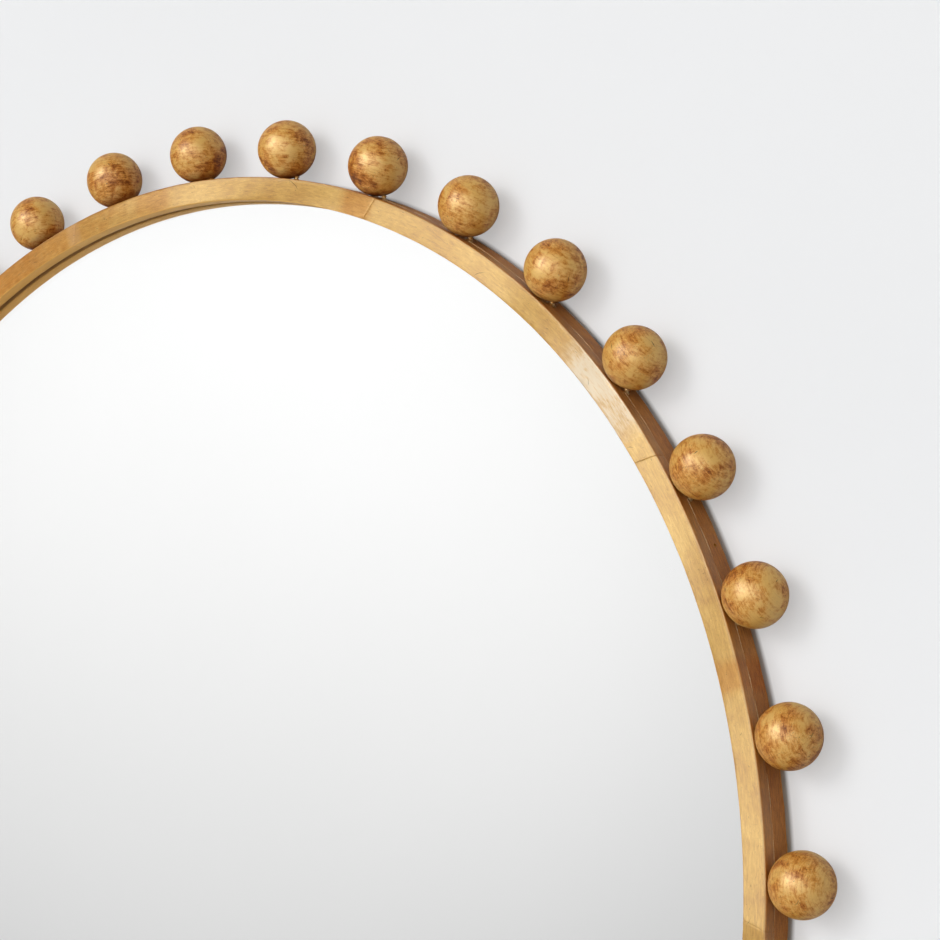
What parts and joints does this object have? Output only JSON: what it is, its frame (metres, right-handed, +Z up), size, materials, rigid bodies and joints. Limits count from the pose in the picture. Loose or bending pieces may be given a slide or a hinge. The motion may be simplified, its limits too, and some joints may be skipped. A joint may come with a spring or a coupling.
{
  "type": "round wall mirror",
  "caption": "Round flat wall mirror in a thin two-layer gilded wood ring, studded round its rim with turned balls, with a nailed back and two swinging D-ring hangers.",
  "frame": {"origin": "on the axis of the ring, in the plane of the ball centres, which is also the middle of the whole piece", "axes": "+X to the right and +Z up as the viewer sees the mirror, +Y from the viewer into the wall"},
  "size_m": [1.0162, 0.04, 1.0162],
  "materials": {
    "ball_gilding": "worn antique gold over turned wood, satin",
    "front_gilding": "honey gold stain over wood grain, satin",
    "rear_gilding": "brown gold stain over wood, satin",
    "pin_steel": "plain steel wire",
    "brad_brass": "gold-toned brass",
    "silvered_glass": "flat silvered glass, polished",
    "foam": "closed-cell foam strip",
    "board": "plain brown fibre board",
    "nail_steel": "dull steel",
    "felt": "pressed felt",
    "strap_steel": "zinc-plated sheet",
    "screw_steel": "zinc-plated",
    "ring_steel": "zinc-plated wire"
  },
  "bodies": {
    "mirror": {"ball_01": "ball_gilding", "ball_02": "ball_gilding", "ball_03": "ball_gilding", "ball_04": "ball_gilding", "ball_05": "ball_gilding", "ball_06": "ball_gilding", "ball_07": "ball_gilding", "ball_08": "ball_gilding", "ball_09": "ball_gilding", "ball_10": "ball_gilding", "ball_11": "ball_gilding", "ball_12": "ball_gilding", "ball_13": "ball_gilding", "ball_14": "ball_gilding", "ball_15": "ball_gilding", "ball_16": "ball_gilding", "ball_17": "ball_gilding", "ball_18": "ball_gilding", "ball_19": "ball_gilding", "ball_20": "ball_gilding", "ball_21": "ball_gilding", "ball_22": "ball_gilding", "ball_23": "ball_gilding", "ball_24": "ball_gilding", "ball_25": "ball_gilding", "ball_26": "ball_gilding", "ball_27": "ball_gilding", "ball_28": "ball_gilding", "ball_29": "ball_gilding", "ball_30": "ball_gilding", "ball_31": "ball_gilding", "ball_32": "ball_gilding", "ball_33": "ball_gilding", "ball_34": "ball_gilding", "ball_35": "ball_gilding", "ball_36": "ball_gilding", "front_segment_01": "front_gilding", "front_segment_02": "front_gilding", "front_segment_03": "front_gilding", "front_segment_04": "front_gilding", "front_segment_05": "front_gilding", "front_segment_06": "front_gilding", "front_segment_07": "front_gilding", "front_segment_08": "front_gilding", "front_segment_09": "front_gilding", "front_segment_10": "front_gilding", "ball_pins": "pin_steel", "ball_brads": "brad_brass", "rear_ring": "rear_gilding", "mirror_glass": "silvered_glass", "glass_cushion": "foam", "backing_board": "board", "board_nails": "nail_steel", "wall_pads": "felt", "hanger_strap_right": "strap_steel", "hanger_strap_left": "strap_steel", "strap_screws": "screw_steel"},
    "right_ring": {"d_ring_right": "ring_steel"},
    "left_ring": {"d_ring_left": "ring_steel"}
  },
  "joints": [
    {"name": "right_ring_swing", "type": "hinge", "parent": "mirror", "child": "right_ring", "pos_m": [0.26, 0.0156, 0.25], "axis": [-1, 0, 0], "range_deg": [0, 165]},
    {"name": "left_ring_swing", "type": "hinge", "parent": "mirror", "child": "left_ring", "pos_m": [-0.26, 0.0156, 0.25], "axis": [-1, 0, 0], "range_deg": [0, 165]}
  ]
}
